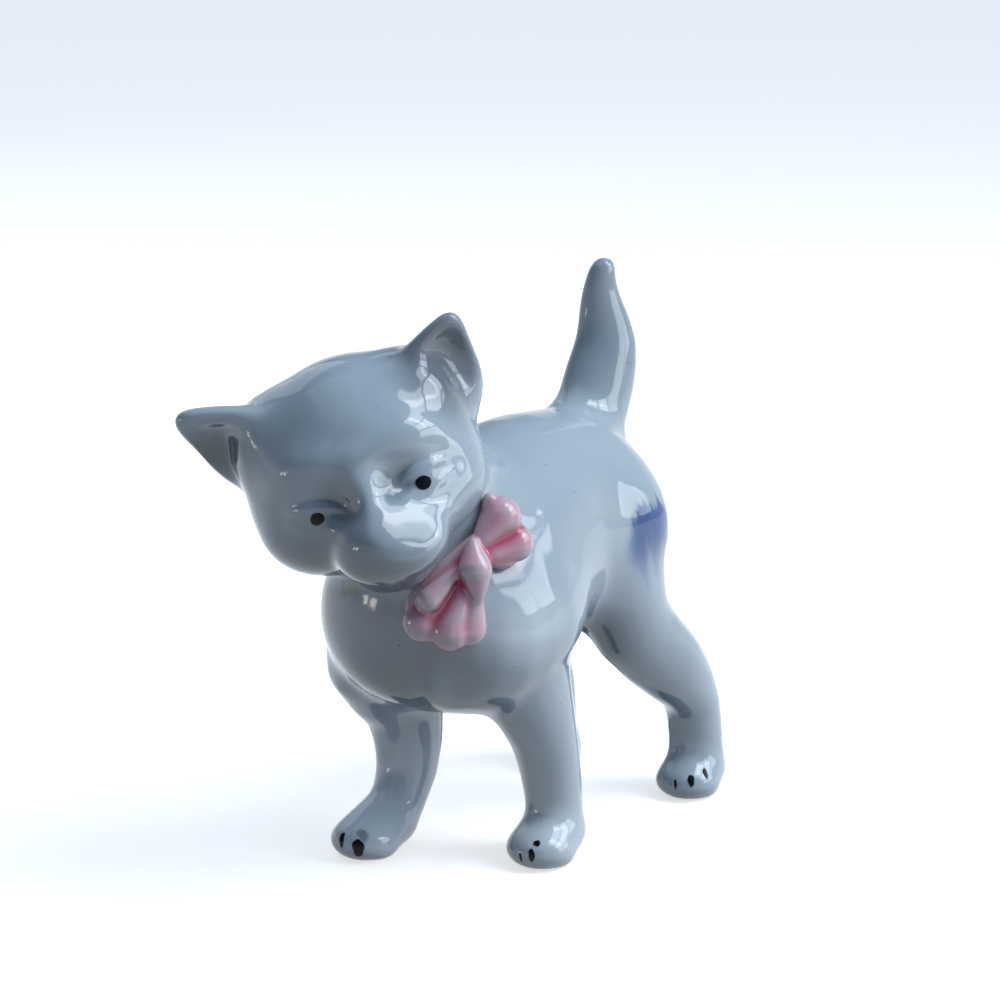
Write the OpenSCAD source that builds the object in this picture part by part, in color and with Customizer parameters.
// Porcelain kitten figurine, walking, with a pink bow at its neck.
// It is made as such figures are: a hollow cast torso and a hollow cast head,
// with legs, ears, tail and bow pressed apart and luted on with slip.
// Millimetres. The kitten faces -Y, its left side is +X, and it stands on Z = 0.

/* [Torso] */
// Width of the chest across the shoulders
chest_width = 33; // [31:0.5:35]
// Width of the hips
hip_width = 29; // [27:0.5:31]
// Height of the back above the ground
back_height = 60.5; // [59:0.5:62]
// Clearance under the belly
belly_height = 28; // [27:0.5:30]
// Thickness of the cast wall of torso and head
wall = 2.8; // [2.2:0.1:3.2]
// Diameter of the vent hole under the belly
vent_diameter = 3; // [2.5:0.5:4]

/* [Head] */
// Width of the head across the cheeks
head_width = 33; // [32:0.5:34]
// How far the face turns towards the kitten's left, in degrees
head_turn = 37; // [33:1:40]
// How far the head leans towards the kitten's right, in degrees
head_lean = 19; // [16:1:22]
// Width of a pupil
pupil_width = 2; // [1.6:0.1:2.4]

/* [Legs] */
// Thickness of a leg at its slimmest
leg_thickness = 8.6; // [8:0.1:9.2]
// Width of a front paw
paw_width = 10.6; // [10:0.1:11]

/* [Tail] */
// Broad width of the tail near its root
tail_width = 11; // [10:0.5:12]
// Height of the tail's tip above the ground
tail_top = 81; // [79:0.5:83]

/* [Bow] */
// Width of the largest puffed fold of the bow
fold_width = 5.8; // [5:0.1:6.2]

/* [Hidden] */

glaze = "aliceblue";
rose = "palevioletred";
enamel = "black";

// Middle of the figure's outline on the ground, which becomes the origin
stand_middle = [-2.3, -13.8, 0];
head_centre = [-4.9, -35, 56.8];
// Thickness of a stroke of enamel
enamel_film = 0.16;

module placed() {
    translate(-stand_middle) children();
}

// ---------- lofting ----------

// Catmull-Rom value between b and c
function curve(a, b, c, d, t) =
    0.5 * (2 * b + (c - a) * t + (2 * a - 5 * b + 4 * c - d) * t * t
           + (3 * b - a - 3 * c + d) * t * t * t);

// A list of stations with `steps` smooth ones in each gap
function smoothed(s, steps) =
    let (last = len(s) - 1)
    [for (i = [0 : last - 1], k = [0 : steps - 1])
        curve(s[max(i - 1, 0)], s[i], s[i + 1], s[min(i + 2, last)], k / steps),
     s[last]];

function unit(v) = v / norm(v);
function signed_pow(v, p) = sign(v) * pow(abs(v), p);
function total(list) = len(list) > 0 ? list * [for (v = list) 1] : 0;
function times(a, b) = [a.x * b.x, a.y * b.y, a.z * b.z];
function over(a, b) = [a.x / b.x, a.y / b.y, a.z / b.z];
function mirrored(swells) =
    [for (side = [-1, 1], s = swells) [times(s[0], [side, 1, 1]), s[1], s[2]]];

// Soft swell of the clay at p: s = [centre, reach along X, Y and Z, height], sunk where negative
function rise(p, s) = s[2] * exp(-pow(norm(over(p - s[0], s[1])), 3.6));
function swollen(p, middle, swells) =
    p + unit(p - middle) * total([for (s = swells) rise(p, s)]);

// Ring of points round `c`: half width a along `side`, b up and d down along `up`
function ring(c, side, up, a, b, d, sides, square = 2) =
    [for (i = [0 : sides - 1])
        let (t = 360 * (i + 0.5) / sides, x = cos(t), y = sin(t))
        c + side * a * signed_pow(x, 2 / square)
          + up * (y > 0 ? b : d) * signed_pow(y, 2 / square)];

// Skin over rings of equal size, closed at both ends by a point
module skin(rings, first, last) {
    n = len(rings[0]);
    m = len(rings);
    points = concat([first], [for (r = rings) each r], [last]);
    polyhedron(points, concat(
        [for (j = [0 : n - 1]) [0, 1 + j, 1 + (j + 1) % n]],
        [for (i = [0 : m - 2], j = [0 : n - 1])
            each [[1 + i * n + j, 1 + (i + 1) * n + (j + 1) % n, 1 + i * n + (j + 1) % n],
                  [1 + i * n + j, 1 + (i + 1) * n + j, 1 + (i + 1) * n + (j + 1) % n]]],
        [for (j = [0 : n - 1])
            [m * n + 1, 1 + (m - 1) * n + (j + 1) % n, 1 + (m - 1) * n + j]]));
}

// Limb: stations [x, y, z, half width, half depth] along a path, ends rounded
module limb(stations, side, steps, sides) {
    s = smoothed(stations, steps);
    m = len(s) - 1;
    function at(i) = [s[i].x, s[i].y, s[i].z];
    along = [for (i = [0 : m]) unit(at(min(i + 1, m)) - at(max(i - 1, 0)))];
    rings = [for (i = [0 : m])
        let (u = unit(cross(along[i], side)), w = cross(u, along[i]))
        ring(at(i), w, u, s[i][3], s[i][4], s[i][4], sides)];
    skin(rings,
         at(0) - along[0] * 0.35 * min(s[0][3], s[0][4]),
         at(m) + along[m] * 0.35 * min(s[m][3], s[m][4]));
}

// Ellipsoid of half sizes r at c
module blob(c, r, sides = 24) {
    translate(c) scale(r) sphere(1, $fn = sides);
}

// A chain of blobs [x, y, z, radius], each joined to the next
module chain(stops, sides) {
    for (i = [0 : len(stops) - 2])
        hull()
            for (v = [stops[i], stops[i + 1]])
                blob([v.x, v.y, v.z], [v[3], v[3], v[3]], sides);
}

// ---------- torso ----------

// [y, middle height, half width, reach up, reach down]
function torso_stations(c, h, top, low) = [
    [-40.5, 38, 0.24 * c, 4, 4.5],
    [-39, 38, 0.50 * c, 8, 8.5],
    [-35.5, 38, 0.78 * c, 12, 12],
    [-28, 38, 0.96 * c, 16, 15],
    [-19, 39, c, top - 41, 15.5],
    [-9, 41.5, 0.92 * c, top - 41, 40 - low],
    [0, 44, 0.94 * h, top - 43.8, 43.5 - low],
    [7, 44, 0.97 * h, top - 44.8, 42.5 - low],
    [12.6, 43.5, 0.86 * h, 13.4, 12],
    [17, 43.5, 0.6 * h, 9.6, 8],
    [19.4, 43.5, 0.3 * h, 5.3, 4.2]];

// Shoulders and haunches
torso_swells = mirrored([
    [[14, -22, 32], [11, 12, 11], 2.4],
    [[13, 7, 41], [9, 9, 11], 2.5]]);

module torso_loft(inset = 0, sides = 30, steps = 2) {
    s = smoothed(torso_stations(chest_width / 2, hip_width / 2, back_height, belly_height), steps);
    m = len(s) - 1;
    // An inset form is scaled about the torso's middle
    k = [1 - inset / 17, 1 - inset / 31, 1 - inset / 17];
    middle = [0, -6, 42];
    translate(middle) scale(k) translate(-middle)
        skin([for (v = s)
                 [for (p = ring([0, v[0], v[1]], [-1, 0, 0], [0, 0, 1], v[2], v[3], v[4], sides, 2.1))
                     swollen(p, [0, v[0], v[1]], torso_swells)]],
             [0, s[0][0] - 0.6, s[0][1]], [0, s[m][0] + 0.8, s[m][1]]);
}

// The neck rises forward out of the chest into the head: [x, y, z, radius]
neck_stops = [[0, -19, 43, 15], [-1, -25, 48, 13.5], [-3, -31, 53, 12]];
module neck() { chain(smoothed(neck_stops, 4), 20); }

// Hollow of the neck, open from the torso into the head
module neck_hollow() {
    limb([for (v = neck_stops) [v.x, v.y, v.z, v[3] - wall, v[3] - wall]], [-1, 0, 0], 2, 18);
}

module torso_form() {
    torso_loft();
    neck();
}

module torso_shell() {
    color(glaze) placed()
        difference() {
            torso_form();
            torso_loft(wall, 16, 1);
            head_form();
            translate([0, 2, belly_height - 3])
                cylinder(d = vent_diameter, h = 10, $fn = 24);
        }
}

// ---------- head ----------

// Puts a piece drawn in the head's own frame onto the figure
module on_head() {
    translate(head_centre) rotate([0, 0, head_turn]) rotate([0, -head_lean, 0]) children();
}

// How far the bare skull reaches from its middle: towards the face, back, crown and jaw
skull_front = 14.6;
skull_back = 16.5;
skull_up = 17.6;
skull_down = 12;

face_swells = concat([
    // muzzle and bridge of the nose
    [[0.8, -14, -5], [8, 12, 6], 2],
    [[0.4, -14.5, 1.5], [3.6, 6, 5.5], 1.8]],
    mirrored([
    // brow, eye socket, cheek and the rise to the ear
    [[8, -12, 6.4], [6, 5, 3], 1.2],
    [[7, -13, 1], [5.4, 5, 3.2], -1.9],
    [[11, -8, -4.6], [6.5, 7, 5], 1.3],
    [[12.4, 0, 11.5], [6, 7, 6], 2.6]]));

// Way down from the head's middle to the muzzle, in degrees, where the rows of the skin start
muzzle_drop = 22;

// A point on the bare skull, `lift` and `turn` being its latitude and longitude about the muzzle
function skull_point(lift, turn) =
    let (u = [cos(lift) * cos(turn), -sin(lift), cos(lift) * sin(turn)],
         y = u.y * cos(muzzle_drop) - u.z * sin(muzzle_drop),
         z = u.y * sin(muzzle_drop) + u.z * cos(muzzle_drop))
    [u.x * head_width / 2,
     y * (y < 0 ? skull_front : skull_back),
     z * (z > 0 ? skull_up : skull_down)];

module skull(inset = 0, sides = 34, rows = 22) {
    k = 1 - inset / 17;
    middle = [0, 1, -1];
    // Rows lie closer together towards the face
    lifts = [for (i = [1 : rows - 1]) 90 - 180 * pow(i / rows, 1.25)];
    swells = inset > 0 ? [] : face_swells;
    scale([k, k, k])
        skin([for (a = lifts)
                 [for (i = [0 : sides - 1])
                     swollen(skull_point(a, 180 - 360 * (i + 0.5) / sides), middle, swells)]],
             swollen(skull_point(90, 0), middle, swells), skull_point(-90, 0));
}

eye_at = [7.6, -10.5, 0.8];
eye_radius = 3.3;

module eyeball(side, film = 0) {
    translate(times(eye_at, [side, 1, 1])) sphere(eye_radius + film, $fn = 22);
}

// A slim rim of clay along each almond-shaped lid, half sunk in the eyeball
lid_size = [2.9, 1.6];
lid_radius = 0.5;
module lids() {
    for (side = [-1, 1])
        chain([for (a = [0 : 40 : 360])
                  let (x = lid_size.x * cos(a), z = lid_size.y * sin(a),
                       y = -sqrt(pow(eye_radius, 2) - x * x - z * z))
                  [side * (eye_at.x + x), eye_at.y + y, eye_at.z + z, lid_radius]], 8);
}

module muzzle() {
    blob([0.8, -12.4, -4.9], [6.8, 8, 5], 24);
    blob([0.5, -10.6, -9.6], [5.6, 5.8, 3.4], 18);
}

module head_form() {
    on_head() {
        skull();
        muzzle();
        lids();
        for (side = [-1, 1]) eyeball(side);
    }
}

module head_shell() {
    color(glaze) placed()
        difference() {
            head_form();
            on_head() skull(wall, 16, 10);
            neck_hollow();
        }
}

// ---------- ears ----------

// A leaf from base to tip in the head's frame, its flat turned to `facing` and set `forward` that way
module ear_leaf(base, tip, facing, half_width, profile, forward, sides) {
    w = half_width;
    axis = tip - base;
    limb([for (v = profile) [each (base + axis * v[0] + unit(facing) * forward * w), v[1] * w, v[2] * w]],
         unit(cross(axis, facing)), 2, sides);
}

// [way from base to tip, half width, half thickness], the last two in half widths of the ear
ear_outside = [[-0.3, 1, 0.5], [0, 1, 0.46], [0.3, 0.86, 0.38], [0.62, 0.58, 0.3],
               [0.88, 0.28, 0.2], [0.98, 0.12, 0.1]];
ear_hollow = [[0, 0.5, 0.2], [0.12, 0.7, 0.34], [0.35, 0.66, 0.36], [0.65, 0.38, 0.25], [0.82, 0.15, 0.12]];

module ear(base, tip, facing, half_width) {
    color(glaze) placed()
        difference() {
            on_head()
                difference() {
                    ear_leaf(base, tip, facing, half_width, ear_outside, 0, 18);
                    ear_leaf(base, tip, facing, half_width, ear_hollow, 0.34, 14);
                }
            head_form();
        }
}

module ear_left() { ear([12.6, -0.5, 9.4], [18.6, -2.5, 18.8], [0.5, -1, -0.1], 7.8); }
module ear_right() { ear([-12.4, -0.5, 9.2], [-21.4, -2.5, 17.6], [-0.4, -1, -0.5], 7.8); }

// ---------- legs ----------

// Paw standing at `heel`, its toes turned `toe_in` degrees; `film` grows it all round
module paw(heel, half_width, length, toe_in = 0, film = 0) {
    w = half_width + film;
    reach = length - half_width;
    translate(heel) rotate([0, 0, toe_in]) {
        hull() {
            blob([0, 0, 0.8 * w], [0.9, 0.9, 0.8] * w, 18);
            blob([0, -0.82 * reach, 0.58 * w], [0.98, 0.92, 0.58] * w, 20);
        }
        // Four toes, hardly parted, the outer ones set back
        for (i = [-1.5 : 1 : 1.5])
            hull()
                for (z = [0.34, 0.62])
                    blob([i * 0.44 * w, -0.95 * reach + 0.12 * w * i * i, z * w], [0.3, 0.5, 0.32] * w, 8);
    }
}

module leg(stations, heel, half_width, length, toe_in = 0) {
    color(glaze) placed()
        difference() {
            union() {
                limb(stations, [-1, 0, 0], 2, 16);
                paw(heel, half_width, length, toe_in);
            }
            torso_form();
            translate([-40, -60, -10]) cube([80, 100, 10]);
        }
}

// How far the round of a paw reaches below the ground, where its sole is ground flat
sole_cut = 0.6;

// Where each heel stands, half the paw's width, its length and how far its toes turn in
paws = [[[11.8, -14, -sole_cut], paw_width / 2, 10.9, 6],
        [[-10.4, -24.4, -sole_cut], paw_width / 2, 11.8, 0],
        [[15, 21, -sole_cut], 0.49 * paw_width, 9.6, 6],
        [[-10, 19.6, -sole_cut], 0.46 * paw_width, 9.6, 28]];

module standing_leg(stations, p) {
    leg(stations, p[0], p[1], p[2], p[3]);
}

module front_left_leg() {
    t = leg_thickness / 2;
    standing_leg([[8.6, -22, 38, 7, 9.5], [10.5, -20, 28, 6, 7.6], [11.4, -16.2, 18, 1.14 * t, 1.15 * t],
                  [11.5, -14, 10, t, t], [11.7, -13.8, 4.4, 0.95 * t, 0.95 * t]], paws[0]);
}

module front_right_leg() {
    t = leg_thickness / 2;
    standing_leg([[-9, -25, 38, 8, 10], [-11, -24, 28, 7.6, 9], [-10.8, -19, 19, 1.36 * t, 1.4 * t],
                  [-10.2, -19.4, 10, 1.06 * t, 1.06 * t], [-10.2, -23.4, 4, 0.9 * t, 0.9 * t]], paws[1]);
}

module hind_left_leg() {
    t = leg_thickness / 2;
    standing_leg([[8.5, 5, 44, 6.5, 9.5], [10.5, 5, 37, 6.2, 8.4], [12.1, 6.3, 29, 5.4, 7],
                  [14, 14.6, 21, 1.1 * t, 1.4 * t], [14.6, 20.2, 14, 0.98 * t, t],
                  [14.9, 21.4, 4.4, 0.95 * t, 0.95 * t]], paws[2]);
}

module hind_right_leg() {
    t = leg_thickness / 2;
    standing_leg([[-8.5, 3, 44, 6.5, 10], [-10, 3.5, 37, 6.2, 9], [-10, 6, 29, 5, 6.6],
                  [-10, 13, 21, 0.92 * t, 1.1 * t], [-10, 18.6, 14, 0.88 * t, 0.9 * t],
                  [-10, 19.2, 5, 0.88 * t, 0.88 * t]], paws[3]);
}

// ---------- tail ----------

module tail() {
    w = tail_width / 2;
    color(glaze) placed()
        difference() {
            limb([[-0.4, 9.5, 50, 1.1 * w, w], [0, 13, 57, 1.02 * w, 0.85 * w],
                  [0.3, 15.6, 63, 1.02 * w, 0.72 * w], [0.2, 17.4, 68.5, 0.88 * w, 0.62 * w],
                  [-0.6, 17.2, 74, 0.62 * w, 0.5 * w], [-0.4, 17, tail_top - 2.8, 0.42 * w, 0.34 * w],
                  [0.4, 17.9, tail_top - 0.4, 0.2 * w, 0.16 * w]],
                 [-0.6, -0.8, 0], 2, 18);
            torso_form();
        }
}

// ---------- bow ----------

knot_at = [11.6, -35.2, 46];
// The bow faces the kitten's front left. Its pieces are placed [right, up, out] from the knot.
bow_out = unit([0.6, -0.78, 0.2]);
bow_right = unit(cross([0, 0, 1], bow_out));
bow_up = cross(bow_out, bow_right);
function on_bow(p) = knot_at + p.x * bow_right + p.y * bow_up + p.z * bow_out;

// A fold of the ribbon puffed out from a narrow root to a round end: stops [right, up, out, radius]
module fold(stops, sides = 10) {
    hull()
        for (v = stops) blob(on_bow(v), [v[3], v[3], v[3]], sides);
}

// Radius of the largest fold's end
lobe = fold_width / 2;

module front_loop() {
    // the ribbon along the jaw, then the folds from left to right
    fold([[0.8, 4.4, -0.6, 1.1], [-2.8, 1.2, -0.8, 1.3]]);
    fold([[-2.8, 1.2, -0.8, 1.3], [-7, -3.8, -1, 1.6]]);
    fold([[-1.6, 0.6, 0.6, 0.9], [-5.2, -3, 1, 0.66 * lobe]]);
    fold([[-1.8, -1.6, -0.4, 1.2], [-6.1, -6.1, -1, lobe]], 14);
    fold([[-0.8, -2.1, 0.4, 1.1], [-2.5, -7.3, -0.2, lobe]], 14);
    fold([[0.9, -2.9, 0, 1.2], [0.1, -7.1, -0.8, 0.87 * lobe]], 14);
}

module rear_loop() {
    fold([[1.5, 4, -0.6, 1.3], [4.6, 7.7, -2.4, lobe]], 14);
    fold([[4, 7.4, -2.2, 0.7 * lobe], [3.1, 10, -1.8, 1.1]]);
    fold([[2.2, 2.6, -0.6, 1.3], [6.5, 4.1, -3.4, 0.92 * lobe]], 14);
    fold([[2.2, 2.4, -0.8, 1.2], [5, 2.2, -2.8, 0.6 * lobe]]);
}

module bow_front_loop() {
    color(rose) placed()
        difference() { front_loop(); head_form(); torso_form(); }
}

module bow_rear_loop() {
    color(rose) placed()
        difference() { rear_loop(); front_loop(); head_form(); torso_form(); }
}

module bow_knot() {
    color(rose) placed()
        difference() {
            fold([[0.7, 4.5, 0.8, 0.8], [0.9, 0.9, 1.2, 2.4], [1.2, -3, 0.8, 1]], 14);
            front_loop();
            rear_loop();
            head_form();
            torso_form();
        }
}

// ---------- painted enamel ----------

module eye_pupils() {
    color(enamel) placed() on_head()
        for (side = [-1, 1])
            difference() {
                intersection() {
                    eyeball(side, enamel_film);
                    translate(times(eye_at, [side, 1, 1])) rotate([90, 0, 0])
                        cylinder(d = pupil_width, h = 2 * eye_radius, $fn = 24);
                }
                eyeball(side);
            }
}

// Three strokes, one in each groove between the toes
module claws(heel, half_width, length, toe_in) {
    difference() {
        intersection() {
            paw(heel, half_width, length, toe_in, enamel_film);
            translate(heel) rotate([0, 0, toe_in])
                for (i = [-1 : 1])
                    blob([i * 0.44 * half_width, -0.92 * length, 0.5 * half_width], [0.5, 3, 1.2], 6);
        }
        paw(heel, half_width, length, toe_in);
    }
}

module claw_marks() {
    color(enamel) placed()
        for (p = paws) claws(p[0], p[1], p[2], p[3]);
}

torso_shell();
head_shell();
ear_left();
ear_right();
front_left_leg();
front_right_leg();
hind_left_leg();
hind_right_leg();
tail();
bow_front_loop();
bow_rear_loop();
bow_knot();
eye_pupils();
claw_marks();
